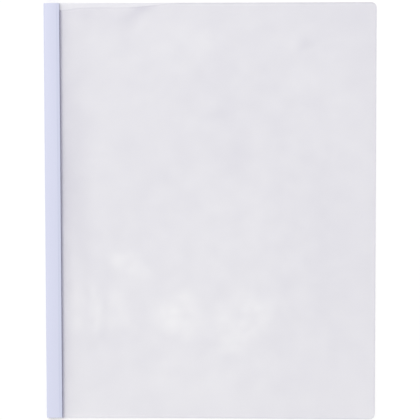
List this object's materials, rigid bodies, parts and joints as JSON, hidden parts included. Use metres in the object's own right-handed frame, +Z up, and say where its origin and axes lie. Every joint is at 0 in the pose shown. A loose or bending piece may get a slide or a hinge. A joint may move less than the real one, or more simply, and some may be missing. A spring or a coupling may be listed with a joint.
{
  "type": "report cover",
  "caption": "Clear film report cover, one sheet folded into front and back leaves and held along the fold by a white slide-on binding bar.",
  "frame": {"origin": "middle of the footprint, on the surface that the cover lies on", "axes": "+X from the binding bar to the open edge, +Y up the page, +Z up through the leaves from back to front"},
  "size_m": [0.2214, 0.2794, 0.0048],
  "materials": {
    "clear_film": "clear glossy film with a faint haze, slightly lavender where it lies double",
    "white_bar": "extruded bluish white plastic with a soft sheen"
  },
  "bodies": {
    "cover": {"cover_film": "clear_film"},
    "bar": {"bar_spine": "white_bar", "bar_front_leg": "white_bar", "bar_back_leg": "white_bar"}
  },
  "joints": [
    {"name": "bar_slide", "type": "slide", "parent": "cover", "child": "bar", "axis": [0, 1, 0], "range_m": [-0.2794, 0.279]}
  ]
}
